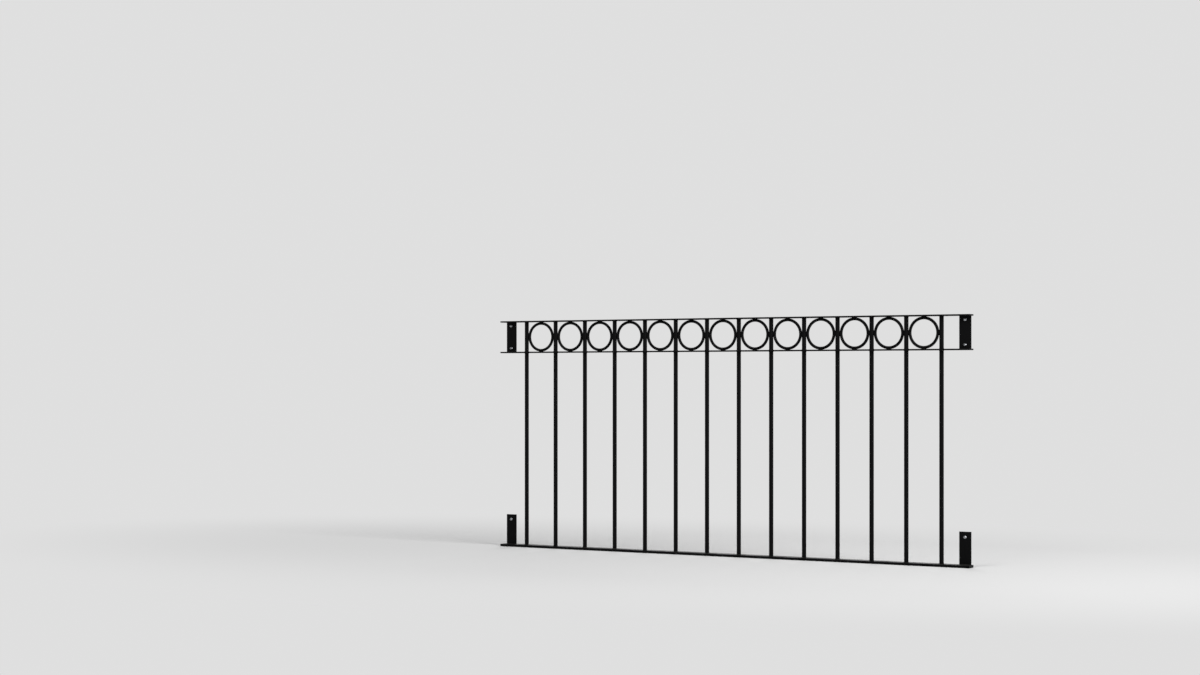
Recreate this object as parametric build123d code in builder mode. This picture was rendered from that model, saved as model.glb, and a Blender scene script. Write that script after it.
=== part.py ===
import os

from build123d import *

# A welded steel railing that guards a tall opening and is screwed on at both ends by four flat plates.
# X runs along the railing, Y points from its front to its back and Z points up. All sizes are in millimetres.
# The origin is the middle of the back face of the lower left plate. All four back faces lie in one plane,
# the mounting plane, and the back edges of the rails reach it too.

# Vertical bars
bar_count = 14
bar_diameter = 18.0
bar_hole_clearance = 0.25  # around a bar where it passes through the ring rail

# Rings, bent from round bar, one between each pair of bars
ring_outer_diameter = 130.0
ring_bar_diameter = 12.0
ring_bar_sides = 8  # flats that stand for the round section
ring_side_gap = 1.0  # left for the weld between a ring and the bar beside it

# Rails, flat bars laid flat
railing_height = 1000.0  # underside of the bottom rail to the top of the top rail
rail_depth = 45.0
top_rail_thickness = 6.0
ring_rail_thickness = 6.0
bottom_rail_thickness = 10.0
rail_edge_break = 1.0
rail_overhang = 8.0  # past the outer edge of the plates

# Plates, flat bars stood on end
plate_width = 50.0
plate_thickness = 5.0
plate_edge_break = 0.8
plate_to_bar_gap = 58.0  # clear width between a plate and the nearest bar
lower_plate_height = 130.0

# Fixing holes
fixing_hole_diameter = 9.0
upper_hole_inset = 15.0  # from either end of an upper plate
lower_hole_inset = 22.0  # from the top end of a lower plate

# Levels, from the underside of the bottom rail up
rail_underside_z = -(bottom_rail_thickness + lower_plate_height / 2)
bottom_rail_top_z = rail_underside_z + bottom_rail_thickness
top_rail_underside_z = rail_underside_z + railing_height - top_rail_thickness
ring_rail_top_z = top_rail_underside_z - ring_outer_diameter
ring_rail_underside_z = ring_rail_top_z - ring_rail_thickness
ring_centre_z = ring_rail_top_z + ring_outer_diameter / 2

# Places along the railing
bar_pitch = ring_outer_diameter + bar_diameter + 2 * ring_side_gap
plate_centre_to_bar = plate_width / 2 + plate_to_bar_gap + bar_diameter / 2
bar_xs = [plate_centre_to_bar + number * bar_pitch for number in range(bar_count)]
ring_xs = [(left + right) / 2 for left, right in zip(bar_xs, bar_xs[1:])]
right_plate_x = bar_xs[-1] + plate_centre_to_bar
rail_start_x = -plate_width / 2 - rail_overhang
rail_length = right_plate_x + plate_width / 2 + rail_overhang - rail_start_x

# Depths, from the mounting plane out
bar_y = -rail_depth / 2
plate_y = -plate_thickness / 2

os.makedirs("parts", exist_ok=True)


def save(piece, name):
    """Labels a finished piece and writes its STEP file."""
    piece.part.label = name
    export_step(piece.part, f"parts/{name}.step")


def flat_rail(underside_z, thickness):
    """A flat bar that runs the whole length of the railing, with its back edge in the mounting plane."""
    with BuildPart() as rail:
        with BuildSketch(Plane.YZ.offset(rail_start_x)) as section:
            with Locations((bar_y, underside_z + thickness / 2)):
                Rectangle(rail_depth, thickness)
            chamfer(section.vertices(), rail_edge_break)
        extrude(amount=rail_length)
    return rail


def vertical_bar(x):
    """A round bar from the bottom rail up to the top rail."""
    with BuildPart() as bar:
        with BuildSketch(Plane.XY.offset(bottom_rail_top_z)):
            with Locations((x, bar_y)):
                Circle(bar_diameter / 2)
        extrude(amount=top_rail_underside_z - bottom_rail_top_z)
    return bar


def ring_row(xs):
    """A row of rings that stand on the ring rail and meet the underside of the top rail."""
    half_flat = 180 / ring_bar_sides  # turns the section so that one flat looks straight down
    with BuildPart() as row:
        with BuildSketch(Plane.YZ):
            with Locations((bar_y, ring_rail_top_z + ring_bar_diameter / 2)):
                RegularPolygon(ring_bar_diameter / 2, ring_bar_sides, major_radius=False, rotation=half_flat)
        ring = revolve(axis=Axis((0, bar_y, ring_centre_z), (0, 1, 0)), mode=Mode.PRIVATE)
        with Locations([(x, 0, 0) for x in xs]):
            add(ring)
    return row


def wall_plate(x, foot_z, height, hole_zs):
    """A flat plate stood on a rail, its back face in the mounting plane, with a hole for each screw."""
    with BuildPart() as plate:
        with BuildSketch(Plane.XY.offset(foot_z)) as section:
            with Locations((x, plate_y)):
                Rectangle(plate_width, plate_thickness)
            chamfer(section.vertices(), plate_edge_break)
        extrude(amount=height)
        with BuildSketch(Plane.XZ):
            with Locations([(x, hole_z) for hole_z in hole_zs]):
                Circle(fixing_hole_diameter / 2)
        extrude(amount=plate_thickness, mode=Mode.SUBTRACT)
    return plate


# Rails
save(flat_rail(top_rail_underside_z, top_rail_thickness), "top_rail")
save(flat_rail(rail_underside_z, bottom_rail_thickness), "bottom_rail")

with BuildPart() as ring_rail:
    add(flat_rail(ring_rail_underside_z, ring_rail_thickness).part)
    with BuildSketch(Plane.XY.offset(ring_rail_underside_z)):
        with Locations([(x, bar_y) for x in bar_xs]):
            Circle(bar_diameter / 2 + bar_hole_clearance)
    extrude(amount=ring_rail_thickness, mode=Mode.SUBTRACT)
save(ring_rail, "ring_rail")

# Bars, counted from the left, and the rings between them
for number, x in enumerate(bar_xs, start=1):
    save(vertical_bar(x), f"bar_{number:02d}")

save(ring_row(ring_xs), "rings")

# Plates: the upper ones fill the height between the ring rail and the top rail
upper_hole_zs = [ring_rail_top_z + upper_hole_inset, top_rail_underside_z - upper_hole_inset]
lower_hole_zs = [bottom_rail_top_z + lower_plate_height - lower_hole_inset]

for side, x in (("left", 0.0), ("right", right_plate_x)):
    save(wall_plate(x, ring_rail_top_z, ring_outer_diameter, upper_hole_zs), f"upper_{side}_wall_plate")
    save(wall_plate(x, bottom_rail_top_z, lower_plate_height, lower_hole_zs), f"lower_{side}_wall_plate")
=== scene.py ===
"""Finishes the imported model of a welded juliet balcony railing.

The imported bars, rails and plates keep their shapes and get a black powder coat. The rings are made again as
smooth round bar, and the weld beads, the button-head screws and their spring washers are added.

X runs along the railing, Y points from its front to its back and Z points up. All sizes are in metres.
"""

import logging
import math
import random
from collections.abc import Iterable
from dataclasses import dataclass
from enum import Enum

import bmesh
import bpy
from mathutils import Matrix, Vector

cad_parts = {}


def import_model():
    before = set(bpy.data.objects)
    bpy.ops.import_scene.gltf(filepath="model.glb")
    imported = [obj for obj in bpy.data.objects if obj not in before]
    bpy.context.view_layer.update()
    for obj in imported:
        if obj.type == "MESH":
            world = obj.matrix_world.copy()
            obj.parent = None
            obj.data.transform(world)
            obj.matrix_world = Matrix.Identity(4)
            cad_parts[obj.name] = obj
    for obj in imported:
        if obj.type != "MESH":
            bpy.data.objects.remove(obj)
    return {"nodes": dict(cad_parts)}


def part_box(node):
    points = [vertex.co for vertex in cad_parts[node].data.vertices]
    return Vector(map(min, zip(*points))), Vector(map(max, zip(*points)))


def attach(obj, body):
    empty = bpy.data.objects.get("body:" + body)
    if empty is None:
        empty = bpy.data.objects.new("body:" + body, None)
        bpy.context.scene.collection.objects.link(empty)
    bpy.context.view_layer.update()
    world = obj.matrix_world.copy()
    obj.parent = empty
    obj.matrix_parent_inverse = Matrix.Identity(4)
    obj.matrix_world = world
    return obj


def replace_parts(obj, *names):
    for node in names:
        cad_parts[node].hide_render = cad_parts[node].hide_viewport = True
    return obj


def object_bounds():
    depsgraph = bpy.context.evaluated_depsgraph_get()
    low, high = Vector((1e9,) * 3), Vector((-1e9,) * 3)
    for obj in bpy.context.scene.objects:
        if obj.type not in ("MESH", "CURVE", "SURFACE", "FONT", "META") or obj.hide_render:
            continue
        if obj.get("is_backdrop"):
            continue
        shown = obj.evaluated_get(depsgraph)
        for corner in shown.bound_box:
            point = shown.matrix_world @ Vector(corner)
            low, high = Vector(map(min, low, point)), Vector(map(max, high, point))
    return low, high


log = logging.getLogger("juliet_balcony")

BODY = "root"
NOISE_MEAN = 0.5
TINY = 1e-6  # a length as good as nothing

Colour = tuple[float, float, float, float]
Point = tuple[float, float, float]
Range = tuple[float, float]  # where something starts and where it is full


class Slot(Enum):
    """The record's material slots."""

    BLACK_PAINT = "black_paint"
    ZINC_FIXINGS = "zinc_fixings"


class Rolling(Enum):
    """Which way a bar was rolled, as the scale of its surface marks along X, Y and Z."""

    ALONG_X = (0.03, 1.0, 1.0)
    ALONG_Z = (1.0, 1.0, 0.03)
    UNROLLED = (1.0, 1.0, 1.0)


class Facing(Enum):
    """Which side of a rail's flat a bead lies on."""

    ABOVE = 1
    BELOW = -1


Seat = tuple[float, Facing]  # the height of a rail's face and the side of it that a piece is welded to


class Value:
    """A number that varies over a surface and takes part in Python expressions.

    Args:
        bench: Where the Math nodes are added.
        socket: The output socket that gives the number.
    """

    def __init__(self, bench: "NodeBench", socket: bpy.types.NodeSocket) -> None:
        """Wraps the socket."""
        self.bench = bench
        self.socket = socket

    def _math(self, operation: str, first: "Value | float", second: "Value | float") -> "Value":
        """Adds one Math node."""
        node = self.bench.add("ShaderNodeMath", {"operation": operation}, {0: first, 1: second})
        return Value(self.bench, node.outputs[0])

    def __add__(self, other: "Value | float") -> "Value":
        """Sum with a value or a number."""
        return self._math("ADD", self, other)

    def __radd__(self, other: float) -> "Value":
        """Sum with a number on the left."""
        return self._math("ADD", other, self)

    def __sub__(self, other: "Value | float") -> "Value":
        """Difference from a value or a number."""
        return self._math("SUBTRACT", self, other)

    def __rsub__(self, other: float) -> "Value":
        """Difference from a number on the left."""
        return self._math("SUBTRACT", other, self)

    def __mul__(self, other: "Value | float") -> "Value":
        """Product with a value or a number."""
        return self._math("MULTIPLY", self, other)

    def __rmul__(self, other: float) -> "Value":
        """Product with a number on the left."""
        return self._math("MULTIPLY", other, self)


class NodeBench:
    """Builds the nodes of one material or of the world.

    Args:
        tree: The node tree, which is emptied first.
    """

    def __init__(self, tree: bpy.types.NodeTree) -> None:
        """Clears the tree."""
        self.tree = tree
        tree.nodes.clear()

    def add(
        self, kind: str, settings: dict[str, object], sockets: dict[str | int, object]
    ) -> bpy.types.Node:
        """Adds a node.

        Args:
            kind: The node's type name.
            settings: The node's own properties, which are set first.
            sockets: What goes into its input sockets: a value, a socket or a constant.

        Returns:
            The new node.
        """
        node = self.tree.nodes.new(kind)
        for name, setting in settings.items():
            setattr(node, name, setting)
        for name, given in sockets.items():
            source = given.socket if isinstance(given, Value) else given
            if isinstance(source, bpy.types.NodeSocket):
                self.tree.links.new(source, node.inputs[name])
            else:
                node.inputs[name].default_value = source
        return node

    def place(self) -> bpy.types.NodeSocket:
        """The place on the piece, in object coordinates."""
        return self.add("ShaderNodeTexCoord", {}, {}).outputs["Object"]

    def stretched(self, place: bpy.types.NodeSocket, scale: Point) -> bpy.types.NodeSocket:
        """The same place with its axes scaled."""
        return self.add("ShaderNodeMapping", {}, {"Vector": place, "Scale": scale}).outputs["Vector"]

    def noise(self, place: bpy.types.NodeSocket, size: float, detail: float) -> Value:
        """Even noise with a mean of 0.5.

        Args:
            place: Where it is read.
            size: The width of its largest patches.
            detail: How many finer layers lie over them.

        Returns:
            The noise.
        """
        node = self.add("ShaderNodeTexNoise", {}, {"Vector": place, "Scale": 1.0 / size, "Detail": detail})
        return Value(self, node.outputs["Fac"])

    def rise(self, value: Value, span: Range) -> Value:
        """A smooth rise from 0 to 1.

        Args:
            value: What is read.
            span: Where the rise starts and ends.

        Returns:
            The share of the rise that is reached.
        """
        start, end = span
        sockets = {"Value": value, "From Min": start, "From Max": end}
        node = self.add("ShaderNodeMapRange", {"interpolation_type": "SMOOTHSTEP"}, sockets)
        return Value(self, node.outputs["Result"])

    def upward(self) -> Value:
        """How far the surface looks up.

        Returns:
            1 where it looks straight up, and -1 where it looks straight down.
        """
        geometry = self.add("ShaderNodeNewGeometry", {}, {})
        parts = self.add("ShaderNodeSeparateXYZ", {}, {"Vector": geometry.outputs["Normal"]})
        return Value(self, parts.outputs["Z"])

    def mixed(self, share: Value, first: Colour, second: Colour) -> bpy.types.NodeSocket:
        """A colour between two others.

        Args:
            share: How much of the second colour shows.
            first: The colour at 0.
            second: The colour at 1.

        Returns:
            The mixed colour.
        """
        node = self.add("ShaderNodeMix", {"data_type": "RGBA"}, {0: share, 6: first, 7: second})
        return node.outputs[2]

    def relief(self, height: Value) -> bpy.types.NodeSocket:
        """The normal of a surface with this height in metres."""
        sockets = {"Height": height, "Distance": 1.0, "Strength": 1.0}
        return self.add("ShaderNodeBump", {}, sockets).outputs["Normal"]

    def shown(self) -> Value:
        """Tells the rays that look at the surroundings from those that only light the railing.

        Returns:
            1 for a look straight at them, in a gloss or through glass, and 0 for the rest.
        """
        path = self.add("ShaderNodeLightPath", {}, {})
        names = ("Is Camera Ray", "Is Glossy Ray", "Is Transmission Ray")
        camera, gloss, glass = (Value(self, path.outputs[name]) for name in names)
        return camera + gloss + glass

    def output(self, kind: str, surface: bpy.types.Node) -> None:
        """Joins the last node to the output."""
        self.add(kind, {}, {"Surface": surface.outputs[0]})


def new_material(name: str) -> tuple[bpy.types.Material, NodeBench]:
    """Starts a material.

    Args:
        name: The material's name.

    Returns:
        The material and the bench for its nodes.
    """
    material = bpy.data.materials.new(name)
    material.use_nodes = True
    return material, NodeBench(material.node_tree)


@dataclass(frozen=True)
class PowderCoat:
    """Satin black powder coat, baked over steel that shows its rolling marks a little.

    Args:
        name: The material's name.
        rolling: Which way the steel under the coat was rolled.
        colour: The coat.
        sheen: How strongly the coat mirrors its surroundings, 0.5 for a full gloss paint.
        dust_colour: The fine dust that settles on what looks up.
        dust_share: The most dust that lies anywhere.
        dust_slope: How far a surface looks up where dust starts to lie and where it lies fully.
        dust_patch: The noise where a dusty patch starts and where it is full.
        dust_roughness: How much rougher dust makes the coat.
        roughness: The coat's mean roughness.
        cloud_size: The width of the patches where the coat cured duller or brighter.
        cloud_spread: How much the roughness differs between them.
        peel_size: The width of a dimple of the coat's orange peel.
        peel_depth: The depth of a dimple.
        mark_size: The width of a rolling mark.
        mark_depth: The depth of a rolling mark, softened by the coat.
    """

    name: str
    rolling: Rolling
    colour: Colour = (0.0020, 0.0020, 0.0022, 1.0)
    sheen: float = 0.05
    dust_colour: Colour = (0.060, 0.057, 0.053, 1.0)
    dust_share: float = 0.25
    dust_slope: Range = (0.35, 0.95)
    dust_patch: Range = (0.38, 0.64)
    dust_roughness: float = 0.6
    roughness: float = 0.44
    cloud_size: float = 0.09
    cloud_spread: float = 0.20
    peel_size: float = 0.0018
    peel_depth: float = 0.000012
    mark_size: float = 0.0022
    mark_depth: float = 0.000012

    def material(self) -> bpy.types.Material:
        """Makes the coat.

        Returns:
            The material.
        """
        material, bench = new_material(self.name)
        place = bench.place()
        peel = bench.noise(place, self.peel_size, detail=1.0)
        marks = bench.noise(bench.stretched(place, self.rolling.value), self.mark_size, detail=2.0)
        clouds = bench.noise(place, self.cloud_size, detail=3.0)
        settled = bench.rise(bench.upward(), self.dust_slope)
        dust = settled * bench.rise(clouds, self.dust_patch) * self.dust_share
        unevenness = (clouds - NOISE_MEAN) * self.cloud_spread
        sockets = {
            "Base Color": bench.mixed(dust, self.colour, self.dust_colour),
            "Roughness": self.roughness + unevenness + dust * self.dust_roughness,
            "Specular IOR Level": self.sheen,
            "Normal": bench.relief(peel * self.peel_depth + marks * self.mark_depth),
        }
        bench.output("ShaderNodeOutputMaterial", bench.add("ShaderNodeBsdfPrincipled", {}, sockets))
        return material


@dataclass(frozen=True)
class ZincPlate:
    """Zinc plating on a screw, gone grey outdoors.

    Args:
        name: The material's name.
        colour: The brighter zinc.
        dull_colour: The greyer patches.
        roughness: The brighter zinc's roughness.
        patch_size: The width of a patch.
        patch_rise: The noise where a grey patch starts and where it is full.
        patch_roughness: How much rougher a grey patch is.
        grain_size: The width of a crystal of the plating.
        grain_depth: How far the crystals stand out.
    """

    name: str
    colour: Colour = (0.30, 0.31, 0.32, 1.0)
    dull_colour: Colour = (0.20, 0.205, 0.215, 1.0)
    roughness: float = 0.28
    patch_size: float = 0.004
    patch_rise: Range = (0.40, 0.64)
    patch_roughness: float = 0.14
    grain_size: float = 0.0005
    grain_depth: float = 0.000006

    def material(self) -> bpy.types.Material:
        """Makes the plating.

        Returns:
            The material.
        """
        material, bench = new_material(self.name)
        place = bench.place()
        patches = bench.rise(bench.noise(place, self.patch_size, detail=3.0), self.patch_rise)
        grain = bench.noise(place, self.grain_size, detail=1.0)
        sockets = {
            "Base Color": bench.mixed(patches, self.colour, self.dull_colour),
            "Metallic": 1.0,
            "Roughness": self.roughness + patches * self.patch_roughness,
            "Normal": bench.relief(grain * self.grain_depth),
        }
        bench.output("ShaderNodeOutputMaterial", bench.add("ShaderNodeBsdfPrincipled", {}, sockets))
        return material


@dataclass(frozen=True)
class PaleFloor:
    """A pale floor that keeps the railing's shadow and fades into the surroundings away from it.

    Args:
        name: The material's name.
        colour: The floor near the railing.
        far_colour: What it fades to, the colour of the surroundings.
        squeeze: The fade's scale along X, Y and Z, which draws it out along the railing.
        fade: How far out the fade starts, and how far out the floor is as pale as the surroundings.
    """

    name: str = "pale_floor"
    colour: Colour = (0.72, 0.72, 0.72, 1.0)
    far_colour: Colour = (0.74, 0.74, 0.74, 1.0)
    squeeze: Point = (0.6, 1.0, 1.0)
    fade: Range = (0.7, 2.4)

    def material(self) -> bpy.types.Material:
        """Makes the floor's finish.

        Returns:
            The material.
        """
        material, bench = new_material(self.name)
        place = bench.stretched(bench.place(), self.squeeze)
        distance = bench.add("ShaderNodeVectorMath", {"operation": "LENGTH"}, {0: place})
        away = bench.rise(Value(bench, distance.outputs["Value"]), self.fade)
        lit = bench.add("ShaderNodeBsdfDiffuse", {}, {"Color": self.colour})
        far = bench.add("ShaderNodeEmission", {}, {"Color": self.far_colour, "Strength": 1.0})
        sockets = {0: away * bench.shown(), 1: lit.outputs[0], 2: far.outputs[0]}
        blend = bench.add("ShaderNodeMixShader", {}, sockets)
        bench.output("ShaderNodeOutputMaterial", blend)
        return material


@dataclass(frozen=True)
class Layout:
    """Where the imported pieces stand.

    Args:
        bar_names: The vertical bars, from the left.
        bar_axes: The middle of each bar along X.
        bar_y: The middle of the bars and rings along Y.
        bar_radius: Half a bar's thickness.
        ring_radius: Half a ring's outer width.
        ring_bar_radius: Half the thickness of the bar that the rings are bent from.
        top_rail_underside: The height of the top rail's lower face.
        ring_rail_top: The height of the ring rail's upper face.
        ring_rail_underside: The height of the ring rail's lower face.
        bottom_rail_top: The height of the bottom rail's upper face.
    """

    bar_names: tuple[str, ...]
    bar_axes: tuple[float, ...]
    bar_y: float
    bar_radius: float
    ring_radius: float
    ring_bar_radius: float
    top_rail_underside: float
    ring_rail_top: float
    ring_rail_underside: float
    bottom_rail_top: float

    @classmethod
    def from_frame(cls, nodes: Iterable[str]) -> "Layout":
        """Reads the places from the frame.

        Args:
            nodes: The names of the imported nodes.

        Returns:
            The layout.
        """
        bar_names = tuple(sorted(name for name in nodes if name.startswith("bar_")))
        boxes = [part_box(name) for name in bar_names]
        low, high = boxes[0]
        ring_low, ring_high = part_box("rings")
        rail_low, rail_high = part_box("ring_rail")
        return cls(
            bar_names=bar_names,
            bar_axes=tuple((left.x + right.x) / 2 for left, right in boxes),
            bar_y=(low.y + high.y) / 2,
            bar_radius=(high.x - low.x) / 2,
            ring_radius=(ring_high.z - ring_low.z) / 2,
            ring_bar_radius=(ring_high.y - ring_low.y) / 2,
            top_rail_underside=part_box("top_rail")[0].z,
            ring_rail_top=rail_high.z,
            ring_rail_underside=rail_low.z,
            bottom_rail_top=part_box("bottom_rail")[1].z,
        )

    def ring_centres(self) -> list[Vector]:
        """Works out where the rings stand, halfway between two bars and between the two rails.

        Returns:
            The middle of each ring, from the left.
        """
        height = (self.ring_rail_top + self.top_rail_underside) / 2
        pairs = zip(self.bar_axes, self.bar_axes[1:])
        return [Vector(((left + right) / 2, self.bar_y, height)) for left, right in pairs]

    def bar_points(self, height: float) -> list[Vector]:
        """The points of the bars' axes at one height."""
        return [Vector((x, self.bar_y, height)) for x in self.bar_axes]

    def ring_side_gap(self) -> float:
        """The gap between a ring and the bar beside it."""
        return self.bar_axes[1] - self.bar_axes[0] - 2 * (self.ring_radius + self.bar_radius)


class Piece:
    """Gathers the shapes of one piece of the railing, which rides with it.

    Args:
        name: The piece's name.
        slot: The material slot that it belongs to, which is only logged; its finish is given directly.
        finish: Its material.
    """

    def __init__(self, name: str, slot: Slot, finish: bpy.types.Material) -> None:
        """Starts an empty piece."""
        self.name = name
        self.slot = slot
        self.finish = finish
        self.whole = bmesh.new()

    def add(self, shape: bmesh.types.BMesh, place: Matrix) -> None:
        """Adds a copy of a shape.

        Args:
            shape: The shape, in its own frame.
            place: Where it goes on the railing.
        """
        copy = bpy.data.meshes.new(self.name)
        shape.to_mesh(copy)
        copy.transform(place)
        self.whole.from_mesh(copy)
        bpy.data.meshes.remove(copy)

    def finished(self, crease: float = math.radians(40)) -> bpy.types.Object:
        """Closes the piece.

        Args:
            crease: The angle past which an edge stays sharp.

        Returns:
            The piece's object.
        """
        bmesh.ops.recalc_face_normals(self.whole, faces=self.whole.faces)
        mesh = bpy.data.meshes.new(self.name)
        self.whole.to_mesh(mesh)
        self.whole.free()
        mesh.shade_smooth()
        mesh.set_sharp_from_angle(angle=crease)
        mesh.materials.append(self.finish)
        piece = bpy.data.objects.new(self.name, mesh)
        bpy.context.scene.collection.objects.link(piece)
        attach(piece, BODY)
        log.info("%s: %d faces, %s", self.name, len(mesh.polygons), self.slot.value)
        return piece


def spun(shape: bmesh.types.BMesh, axis: Point, steps: int) -> bmesh.types.BMesh:
    """Sweeps all of a shape's edges once round an axis through its origin.

    Args:
        shape: The section, which becomes the swept shape.
        axis: The direction of the axis.
        steps: The flats round it.

    Returns:
        The same shape.
    """
    bmesh.ops.spin(
        shape,
        geom=[*shape.verts, *shape.edges],
        cent=(0.0, 0.0, 0.0),
        axis=axis,
        angle=math.tau,
        steps=steps,
        use_merge=True,
    )
    return shape


@dataclass
class CoatedSteel:
    """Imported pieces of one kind, which keep their shape and get their finish.

    Args:
        names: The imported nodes.
        coat: The finish that they get.
    """

    names: tuple[str, ...]
    coat: PowderCoat

    def dress(self, nodes: dict[str, bpy.types.Object]) -> None:
        """Gives each piece the coat.

        Args:
            nodes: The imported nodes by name.
        """
        material = self.coat.material()
        for name in self.names:
            for slot in nodes[name].material_slots:
                slot.material = material
            log.info("%s: packed shape, %s", name, self.coat.name)


@dataclass
class RingRow:
    """The row of rings, each bent from round bar and closed under its seat.

    Args:
        layout: Where the rings stand.
        turns: The flats round a ring.
        sides: The flats round its bar.
    """

    layout: Layout
    turns: int = 112
    sides: int = 24

    def build(self, finish: bpy.types.Material) -> None:
        """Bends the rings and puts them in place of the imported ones.

        Args:
            finish: The rings' material.
        """
        rings = Piece("bent_rings", Slot.BLACK_PAINT, finish)
        ring = self._bent()
        for centre in self.layout.ring_centres():
            rings.add(ring, Matrix.Translation(centre))
        ring.free()
        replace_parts(rings.finished(), "rings")

    def _bent(self) -> bmesh.types.BMesh:
        """Bends one ring.

        Returns:
            The ring, round the origin and facing along Y.
        """
        bar_radius = self.layout.ring_bar_radius
        ring = bmesh.new()
        off_axis = Matrix.Translation((self.layout.ring_radius - bar_radius, 0.0, 0.0))
        bmesh.ops.create_circle(ring, segments=self.sides, radius=bar_radius, matrix=off_axis)
        return spun(ring, (0.0, 1.0, 0.0), self.turns)


@dataclass(frozen=True)
class StraightBead:
    """The sizes of a bead that runs straight and fades out at both ends.

    Args:
        length: The bead's length.
        half_width: Half the section's width across the joint.
        half_height: Half the section's height out of the joint.
        sections: The number of sections along it.
        bluntness: How long the section stays full towards the ends, 2 for an ellipsoid.
    """

    length: float
    half_width: float
    half_height: float
    sections: int
    bluntness: float


@dataclass
class WeldBeads:
    """The beads that join the pieces, run by hand and coated with them.

    A collar's section is an ellipse that lies across the corner that it fills, so only its crown shows.

    Args:
        layout: Where the pieces meet.
        finish: The beads' material.
        crown: Half the width of a collar's section, square to its face.
        spread: Half the width of a collar's section, along its face.
        collar_turns: The flats round a collar.
        collar_swells: How many times a collar may grow and shrink on its way round.
        ring_seat: A bead beside a ring's seat on a rail.
        seat_offset: How far it runs from the ring's middle, as a share of half the ring bar's thickness.
        ring_side: A bead between a ring and a bar.
        side_offset: How far it runs from the ring's middle, as a share of half the ring bar's thickness.
        slip: How far such a bead may miss its place along the joint.
        plate_share: How thick a plate's bead is, as a share of a collar.
        plate_end_gap: How far a plate's bead stops short of the plate's edges.
        plate_sections: The number of sections along a plate's bead.
        plate_bluntness: How long its section stays full towards the ends.
        ripple_pitch: The distance between two ripples.
        ripple_depth: How far a ripple stands out, as a share of the section.
        drift: How much the section grows and shrinks along the bead, as a share of it.
        drift_ripples: How many ripples of a straight bead go by while it grows and shrinks once.
        sides: The flats round a section.
        seed: Starts the draw of the beads' unevenness.
    """

    layout: Layout
    finish: bpy.types.Material
    crown: float = 0.0016
    spread: float = 0.0027
    collar_turns: int = 80
    collar_swells: tuple[int, ...] = (2, 3)
    ring_seat: StraightBead = StraightBead(
        length=0.020, half_width=0.0024, half_height=0.0016, sections=24, bluntness=1.8
    )
    seat_offset: float = 0.55
    ring_side: StraightBead = StraightBead(
        length=0.022, half_width=0.0021, half_height=0.0022, sections=26, bluntness=1.8
    )
    side_offset: float = 0.5
    slip: float = 0.0010
    plate_share: float = 0.85
    plate_end_gap: float = 0.001
    plate_sections: int = 110
    plate_bluntness: float = 10.0
    ripple_pitch: float = 0.0022
    ripple_depth: float = 0.07
    drift: float = 0.06
    drift_ripples: int = 7
    sides: int = 10
    seed: int = 5

    def __post_init__(self) -> None:
        """Starts the draw."""
        self.draw = random.Random(self.seed)

    def build(self, plates: Iterable["ScrewedPlate"]) -> None:
        """Runs every bead.

        Args:
            plates: The plates, which have a bead on each rail that they meet.
        """
        layout = self.layout
        above_ring_rail = (layout.ring_rail_top, Facing.ABOVE)
        below_ring_rail = (layout.ring_rail_underside, Facing.BELOW)
        self._round_bars("bar_foot_welds", [(layout.bottom_rail_top, Facing.ABOVE)])
        self._round_bars("bar_collar_welds", [above_ring_rail, below_ring_rail])
        self._round_bars("bar_head_welds", [(layout.top_rail_underside, Facing.BELOW)])
        self._ring_seats()
        self._ring_sides()
        self._plate_feet(plates)

    def _piece(self, name: str) -> Piece:
        """Starts a piece of coated beads."""
        return Piece(name, Slot.BLACK_PAINT, self.finish)

    def _round_bars(self, name: str, seats: Iterable[Seat]) -> None:
        """Runs a collar round every bar.

        Args:
            name: The piece's name.
            seats: The rail faces that the bars meet.
        """
        beads = self._piece(name)
        plain = self._plain_collar()
        for height, facing in seats:
            turned_over = Matrix.Diagonal((1.0, 1.0, facing.value, 1.0))
            for foot in self.layout.bar_points(height):
                bead = plain.copy()
                self._ripple_collar(bead)
                beads.add(bead, Matrix.Translation(foot) @ turned_over)
                bead.free()
        plain.free()
        beads.finished()

    def _plain_collar(self) -> bmesh.types.BMesh:
        """Makes a collar without its ripples.

        Returns:
            The collar, round a bar that stands on the origin.
        """
        collar = bmesh.new()
        corner = Matrix.Translation((self.layout.bar_radius, 0.0, 0.0))
        tilt = Matrix.Rotation(math.pi / 4, 4, "Y")
        size = Matrix.Diagonal((self.spread, 1.0, self.crown, 1.0))
        upright = Matrix.Rotation(math.pi / 2, 4, "X")
        place = corner @ tilt @ size @ upright
        bmesh.ops.create_circle(collar, segments=self.sides, radius=1.0, matrix=place)
        return spun(collar, (0.0, 0.0, 1.0), self.collar_turns)

    def _ripple_collar(self, collar: bmesh.types.BMesh) -> None:
        """Gives a collar whole ripples, so that the last meets the first.

        Args:
            collar: The collar without ripples.
        """
        radius = self.layout.bar_radius
        ripples = round(math.tau * (radius + self.crown) / self.ripple_pitch)
        phase = self.draw.uniform(0.0, math.tau)
        swells = self.draw.choice(self.collar_swells)
        for vertex in collar.verts:
            angle = math.atan2(vertex.co.y, vertex.co.x)
            core = Vector((math.cos(angle), math.sin(angle), 0.0)) * radius
            ripple = self.ripple_depth * math.sin(ripples * angle + phase)
            swell = self.drift * math.sin(swells * angle + phase)
            vertex.co = core + (vertex.co - core) * (1.0 + ripple + swell)

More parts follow.
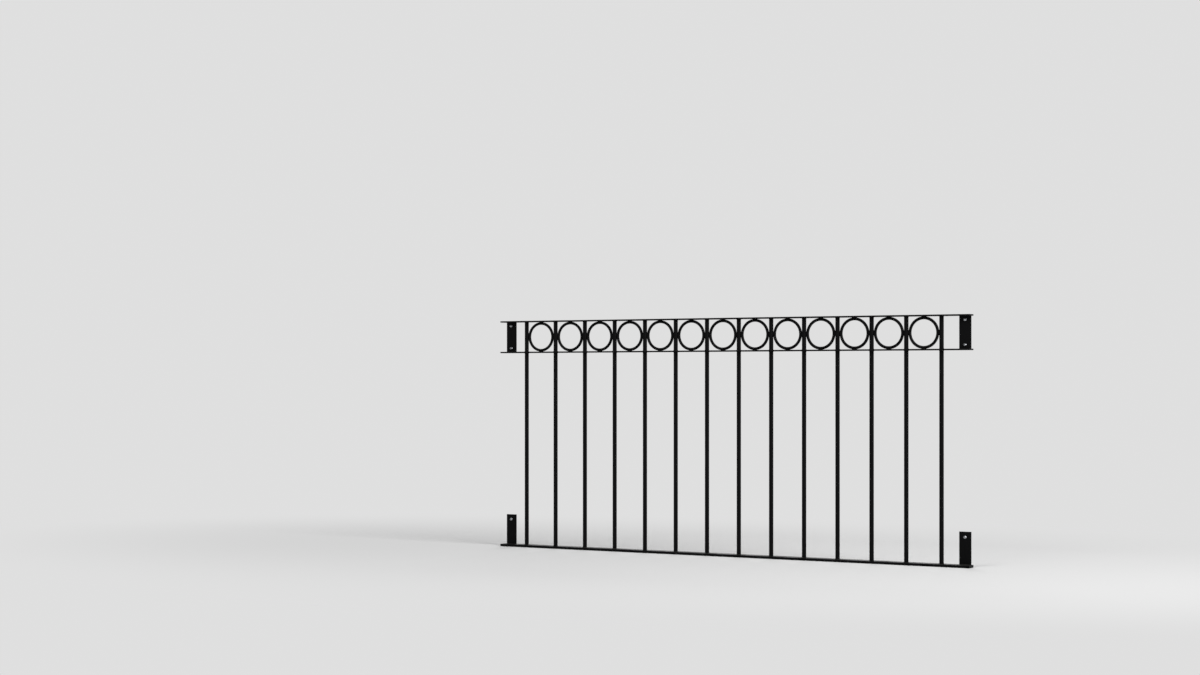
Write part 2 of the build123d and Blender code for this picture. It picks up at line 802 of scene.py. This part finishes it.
    def _lay(self, beads: Piece, bead: StraightBead, place: Matrix) -> None:
        """Runs a straight bead.

        Args:
            beads: The piece that it belongs to.
            bead: Its sizes.
            place: Takes it to its joint from along Z, where its section has a radius of 1.
        """
        shape = bmesh.new()
        bmesh.ops.create_uvsphere(shape, u_segments=self.sides, v_segments=bead.sections, radius=1.0)
        phase = self.draw.uniform(0.0, math.tau)
        for vertex in shape.verts:
            reach = vertex.co.xy.length
            distance = vertex.co.z * bead.length / 2
            full = max(0.0, 1.0 - abs(vertex.co.z) ** bead.bluntness) ** (1.0 / bead.bluntness)
            ripple_angle = math.tau * distance / self.ripple_pitch
            ripple = self.ripple_depth * math.sin(ripple_angle + phase)
            swell = self.drift * math.sin(ripple_angle / self.drift_ripples + phase)
            grown = full * (1.0 + ripple + swell) / max(reach, TINY)
            vertex.co = Vector((vertex.co.x * grown, vertex.co.y * grown, distance))
        beads.add(shape, place)
        shape.free()

    def _ring_seats(self) -> None:
        """Runs a bead along both sides of each ring's seat on the ring rail and under the top rail."""
        beads = self._piece("ring_seat_welds")
        lying = Matrix.Rotation(math.pi / 2, 4, "Y")
        size = Matrix.Diagonal((self.ring_seat.half_height, self.ring_seat.half_width, 1.0, 1.0))
        offset = self.layout.ring_bar_radius * self.seat_offset
        for centre in self.layout.ring_centres():
            for height in (self.layout.ring_rail_top, self.layout.top_rail_underside):
                for side in (-1, 1):
                    x = centre.x + self.draw.uniform(-self.slip, self.slip)
                    joint = Matrix.Translation((x, centre.y + side * offset, height))
                    self._lay(beads, self.ring_seat, joint @ lying @ size)
        beads.finished()

    def _ring_sides(self) -> None:
        """Runs a bead down the gap between each ring and the bars beside it, at the front and the back."""
        beads = self._piece("ring_side_welds")
        size = Matrix.Diagonal((self.ring_side.half_width, self.ring_side.half_height, 1.0, 1.0))
        mid_gap = self.layout.ring_radius + self.layout.ring_side_gap() / 2
        offset = self.layout.ring_bar_radius * self.side_offset
        for centre in self.layout.ring_centres():
            for side in (-1, 1):
                for face in (-1, 1):
                    z = centre.z + self.draw.uniform(-self.slip, self.slip)
                    joint = Matrix.Translation((centre.x + side * mid_gap, centre.y + face * offset, z))
                    self._lay(beads, self.ring_side, joint @ size)
        beads.finished()

    def _plate_feet(self, plates: Iterable["ScrewedPlate"]) -> None:
        """Runs a bead along the front of each plate where it meets a rail.

        Args:
            plates: The plates.
        """
        beads = self._piece("plate_welds")
        lying = Matrix.Rotation(math.pi / 2, 4, "Y")
        for plate in plates:
            bead = StraightBead(
                length=plate.width - 2 * self.plate_end_gap,
                half_width=self.spread * self.plate_share,
                half_height=self.crown * self.plate_share,
                sections=self.plate_sections,
                bluntness=self.plate_bluntness,
            )
            size = Matrix.Diagonal((1.0, bead.half_width, bead.half_height, 1.0))
            for height, facing in plate.seats:
                corner = Matrix.Translation((plate.centre_x, plate.front_y, height))
                tilt = Matrix.Rotation(facing.value * math.pi / 4, 4, "X")
                self._lay(beads, bead, corner @ tilt @ size @ lying)
        beads.finished()


@dataclass
class ScrewedPlate:
    """A packed plate, with what is fitted to it.

    Args:
        name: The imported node.
        seats: The rail faces that it meets.
        hole_heights: The heights of its holes.
    """

    name: str
    seats: tuple[Seat, ...]
    hole_heights: tuple[float, ...]

    def __post_init__(self) -> None:
        """Reads its size from the frame."""
        low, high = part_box(self.name)
        self.centre_x = (low.x + high.x) / 2
        self.width = high.x - low.x
        self.front_y = low.y

    @classmethod
    def all_four(
        cls, layout: Layout, upper_inset: float = 0.015, lower_inset: float = 0.022
    ) -> list["ScrewedPlate"]:
        """Makes the four plates.

        Args:
            layout: Where the rails are.
            upper_inset: From either end of an upper plate to a hole.
            lower_inset: From the top end of a lower plate to its hole.

        Returns:
            The plates.
        """
        plates = []
        for side in ("left", "right"):
            name = f"upper_{side}_wall_plate"
            low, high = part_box(name)
            seats = ((layout.ring_rail_top, Facing.ABOVE), (layout.top_rail_underside, Facing.BELOW))
            plates.append(cls(name, seats, (low.z + upper_inset, high.z - upper_inset)))
            name = f"lower_{side}_wall_plate"
            seats = ((layout.bottom_rail_top, Facing.ABOVE),)
            plates.append(cls(name, seats, (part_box(name)[1].z - lower_inset,)))
        return plates


@dataclass
class ButtonScrews:
    """The button-head screws that hold the plates, each on a split spring washer.

    Args:
        finish: The screws' material.
        head_radius: The head's radius.
        head_height: The head's height.
        side_height: The height of the upright side below the dome.
        crown_radius: The radius of the flat on top of the dome.
        socket_across_flats: The width of the hexagonal socket.
        socket_depth: The depth of the socket's flats.
        socket_point: How far its floor dips below them, to the point that the drill left.
        dome_steps: The flats from the dome's foot to its crown.
        washer_outer_radius: The washer's outer radius.
        washer_inner_radius: The washer's inner radius.
        washer_thickness: The washer's thickness.
        washer_split: The angle that is open between the washer's two ends.
        shank_radius: The shank's radius.
        shank_chamfer: The chamfer at the end of the shank.
        shank_gap: How far the shank stops short of the plate's back.
        crease: The angle past which an edge stays sharp.
        turns: The flats round a turned part, a multiple of the socket's six.
        seed: Starts the draw of how far each screw is turned.
    """

    finish: bpy.types.Material
    head_radius: float = 0.0070
    head_height: float = 0.0044
    side_height: float = 0.0008
    crown_radius: float = 0.0034
    socket_across_flats: float = 0.0050
    socket_depth: float = 0.0026
    socket_point: float = 0.0008
    dome_steps: int = 7
    washer_outer_radius: float = 0.0064
    washer_inner_radius: float = 0.0042
    washer_thickness: float = 0.0018
    washer_split: float = math.radians(10)
    shank_radius: float = 0.004
    shank_chamfer: float = 0.0008
    shank_gap: float = 0.0002
    crease: float = math.radians(25)
    turns: int = 48
    seed: int = 11

    def build(self, plates: Iterable[ScrewedPlate]) -> None:
        """Puts a screw and its washer in every hole.

        Args:
            plates: The plates with the holes.
        """
        draw = random.Random(self.seed)
        screws = Piece("button_screws", Slot.ZINC_FIXINGS, self.finish)
        washers = Piece("spring_washers", Slot.ZINC_FIXINGS, self.finish)
        head, washer = self._head(), self._washer()
        out_of_plate = Matrix.Rotation(math.pi / 2, 4, "X")
        on_washer = Matrix.Translation((0.0, 0.0, self.washer_thickness))
        for plate in plates:
            shank = self._shank(depth=-plate.front_y)
            for height in plate.hole_heights:
                hole = Matrix.Translation((plate.centre_x, plate.front_y, height)) @ out_of_plate
                head_turn = Matrix.Rotation(draw.uniform(0.0, math.pi / 3), 4, "Z")
                washer_turn = Matrix.Rotation(draw.uniform(0.0, math.tau), 4, "Z")
                screws.add(head, hole @ on_washer @ head_turn)
                screws.add(shank, hole)
                washers.add(washer, hole @ washer_turn)
            shank.free()
        head.free()
        washer.free()
        screws.finished(self.crease)
        washers.finished(self.crease)

    def _turned(self, outline: list[tuple[float, float]]) -> bmesh.types.BMesh:
        """Turns an outline that starts and ends on the axis.

        Args:
            outline: The corners of the outline, each a radius and a height.

        Returns:
            The turned shape, round Z.
        """
        shape = bmesh.new()
        corners = [shape.verts.new((radius, 0.0, height)) for radius, height in outline]
        for pair in zip(corners, corners[1:]):
            shape.edges.new(pair)
        spun(shape, (0.0, 0.0, 1.0), self.turns)
        bmesh.ops.remove_doubles(shape, verts=shape.verts, dist=TINY)
        return shape

    def _head(self) -> bmesh.types.BMesh:
        """Makes a low dome with a hexagonal socket in its crown.

        Returns:
            The head, with its underside on the origin.
        """
        flat_radius = self.socket_across_flats / 2
        socket_floor = self.head_height - self.socket_depth
        outline = [
            (0.0, 0.0),
            (self.head_radius, 0.0),
            *self._dome(),
            (flat_radius, self.head_height),
            (flat_radius, socket_floor),
            (0.0, socket_floor - self.socket_point),
        ]
        head = self._turned(outline)
        for vertex in head.verts:
            if abs(vertex.co.xy.length - flat_radius) < TINY:
                past_flat = math.atan2(vertex.co.y, vertex.co.x) % (math.pi / 3) - math.pi / 6
                vertex.co.xy = vertex.co.xy / math.cos(past_flat)
        return head

    def _dome(self) -> list[tuple[float, float]]:
        """Works out the arc from the top of the head's side up to its crown, round a centre on the axis.

        Returns:
            The arc's points, each a radius and a height.
        """
        rise = self.head_height - self.side_height
        shrink = self.head_radius**2 - self.crown_radius**2
        centre_height = (self.head_height + self.side_height - shrink / rise) / 2
        foot_angle = math.atan2(self.side_height - centre_height, self.head_radius)
        crown_angle = math.atan2(self.head_height - centre_height, self.crown_radius)
        radius = math.hypot(self.head_radius, self.side_height - centre_height)
        step = (crown_angle - foot_angle) / self.dome_steps
        angles = [foot_angle + step * count for count in range(self.dome_steps + 1)]
        return [(radius * math.cos(angle), centre_height + radius * math.sin(angle)) for angle in angles]

    def _washer(self) -> bmesh.types.BMesh:
        """Winds a square wire once round, pressed flat by the head.

        Returns:
            The washer, with its underside on the origin.
        """
        washer = bmesh.new()
        half_width = (self.washer_outer_radius - self.washer_inner_radius) / 2
        middle = Matrix.Translation((self.washer_inner_radius + half_width, 0.0, self.washer_thickness / 2))
        size = Matrix.Diagonal((half_width, 1.0, self.washer_thickness / 2, 1.0))
        upright = Matrix.Rotation(math.pi / 2, 4, "X")
        bmesh.ops.create_grid(washer, x_segments=1, y_segments=1, size=1.0, matrix=middle @ size @ upright)
        bmesh.ops.spin(
            washer,
            geom=[*washer.verts, *washer.edges, *washer.faces],
            cent=(0.0, 0.0, 0.0),
            axis=(0.0, 0.0, 1.0),
            angle=math.tau - self.washer_split,
            steps=self.turns,
        )
        return washer

    def _shank(self, depth: float) -> bmesh.types.BMesh:
        """Makes the shank, which reaches from under the head to just short of the plate's back.

        Args:
            depth: How far the plate's back lies behind its front.

        Returns:
            The shank.
        """
        end = self.shank_gap - depth
        outline = [
            (0.0, self.washer_thickness),
            (self.shank_radius, self.washer_thickness),
            (self.shank_radius, end + self.shank_chamfer),
            (self.shank_radius - self.shank_chamfer, end),
            (0.0, end),
        ]
        return self._turned(outline)


@dataclass(frozen=True)
class SoftBox:
    """A square studio light.

    Args:
        name: The lamp's name.
        place: Where it hangs.
        width: The side of its window.
        power: Its power in watts.
    """

    name: str
    place: Point
    width: float
    power: float

    def hang(self, aim: Vector) -> None:
        """Adds the lamp.

        Args:
            aim: The point that it looks at.
        """
        lamp = bpy.data.lights.new(self.name, "AREA")
        lamp.shape = "SQUARE"
        lamp.size = self.width
        lamp.energy = self.power
        holder = bpy.data.objects.new(self.name, lamp)
        holder.location = self.place
        direction = aim - Vector(self.place)
        holder.rotation_euler = direction.to_track_quat("-Z", "Y").to_euler()
        bpy.context.scene.collection.objects.link(holder)


@dataclass(frozen=True)
class Viewpoint:
    """The photograph's camera, worked out from the bars' even spacing and the rails' vanishing points.

    Args:
        place: Where it stands.
        heading: How far it is turned from looking straight at the railing.
        image_width: The photograph's width in pixels.
        focal_length: Its focal length in pixels.
        horizon_drop: How far the horizon lies under the middle of the picture, in pixels.
        sensor_width: The width of the film, in millimetres.
        sight: How far it sees.
    """

    place: Point = (5.223, -8.0945, 0.677)
    heading: float = math.radians(30.5)
    image_width: float = 1200.0
    focal_length: float = 2158.5
    horizon_drop: float = 39.5
    sensor_width: float = 36.0
    sight: float = 100.0

    def stand(self) -> None:
        """Adds the camera."""
        camera = bpy.data.cameras.new("photo_camera")
        camera.sensor_width = self.sensor_width
        camera.lens = self.sensor_width * self.focal_length / self.image_width
        camera.shift_y = self.horizon_drop / self.image_width
        camera.clip_end = self.sight
        holder = bpy.data.objects.new("photo_camera", camera)
        holder.location = self.place
        holder.rotation_euler = (math.pi / 2, 0.0, self.heading)
        bpy.context.scene.collection.objects.link(holder)
        bpy.context.scene.camera = holder


@dataclass
class Studio:
    """The plain studio: a pale floor, pale surroundings, soft lights and the camera.

    Args:
        low: The lowest corner of the railing.
        high: Its highest corner.
        floor_gap: How far the floor lies below the railing.
        floor_width: The width of the floor.
        floor_finish: What the floor looks like.
        ambient: The strength of the surroundings' light on the railing.
        lamps: The soft lights.
        viewpoint: The camera.
    """

    low: Vector
    high: Vector
    floor_gap: float = 0.001
    floor_width: float = 120.0
    floor_finish: PaleFloor = PaleFloor()
    ambient: float = 0.35
    lamps: tuple[SoftBox, ...] = (
        SoftBox("right_light", place=(9.4, -2.6, 4.6), width=4.0, power=800.0),
        SoftBox("front_light", place=(-0.4, -9.0, 6.4), width=4.4, power=420.0),
        SoftBox("back_light", place=(-2.6, 7.6, 5.4), width=4.4, power=340.0),
    )
    viewpoint: Viewpoint = Viewpoint()

    def build(self) -> None:
        """Sets up the studio."""
        middle = (self.low + self.high) / 2
        self._floor(middle)
        self._surroundings()
        for lamp in self.lamps:
            lamp.hang(middle)
        self.viewpoint.stand()
        bpy.context.scene.view_settings.view_transform = "Standard"

    def _floor(self, middle: Vector) -> None:
        """Lays the floor.

        Args:
            middle: The middle of the railing.
        """
        shape = bmesh.new()
        bmesh.ops.create_grid(shape, x_segments=1, y_segments=1, size=self.floor_width / 2)
        mesh = bpy.data.meshes.new("floor")
        shape.to_mesh(mesh)
        shape.free()
        mesh.materials.append(self.floor_finish.material())
        floor = bpy.data.objects.new("floor", mesh)
        floor.location = (middle.x, middle.y, self.low.z - self.floor_gap)
        bpy.context.scene.collection.objects.link(floor)
        floor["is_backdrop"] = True

    def _surroundings(self) -> None:
        """Makes the surroundings pale to look at, and dimmer as a light."""
        world = bpy.data.worlds.new("pale_surroundings")
        world.use_nodes = True
        bpy.context.scene.world = world
        bench = NodeBench(world.node_tree)
        strength = self.ambient + bench.shown() * (1.0 - self.ambient)
        sockets = {"Color": self.floor_finish.far_colour, "Strength": strength}
        bench.output("ShaderNodeOutputWorld", bench.add("ShaderNodeBackground", {}, sockets))


def main() -> None:
    """Builds the railing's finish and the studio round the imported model."""
    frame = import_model()
    packed_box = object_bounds()
    nodes = frame["nodes"]
    layout = Layout.from_frame(nodes)

    rails = ("top_rail", "ring_rail", "bottom_rail")
    CoatedSteel(rails, PowderCoat("powder_coat_on_rails", Rolling.ALONG_X)).dress(nodes)
    CoatedSteel(layout.bar_names, PowderCoat("powder_coat_on_bars", Rolling.ALONG_Z)).dress(nodes)
    plates = ScrewedPlate.all_four(layout)
    plate_names = tuple(plate.name for plate in plates)
    CoatedSteel(plate_names, PowderCoat("powder_coat_on_plates", Rolling.ALONG_Z)).dress(nodes)

    RingRow(layout).build(PowderCoat("powder_coat_on_rings", Rolling.UNROLLED).material())
    weld_coat = PowderCoat("powder_coat_on_welds", Rolling.UNROLLED, roughness=0.40, peel_depth=0.00002)
    WeldBeads(layout, weld_coat.material()).build(plates)
    ButtonScrews(ZincPlate("zinc_plate").material()).build(plates)

    Studio(*packed_box).build()


if __name__ == "__main__":
    logging.basicConfig(level=logging.INFO, format="%(message)s")
    main()
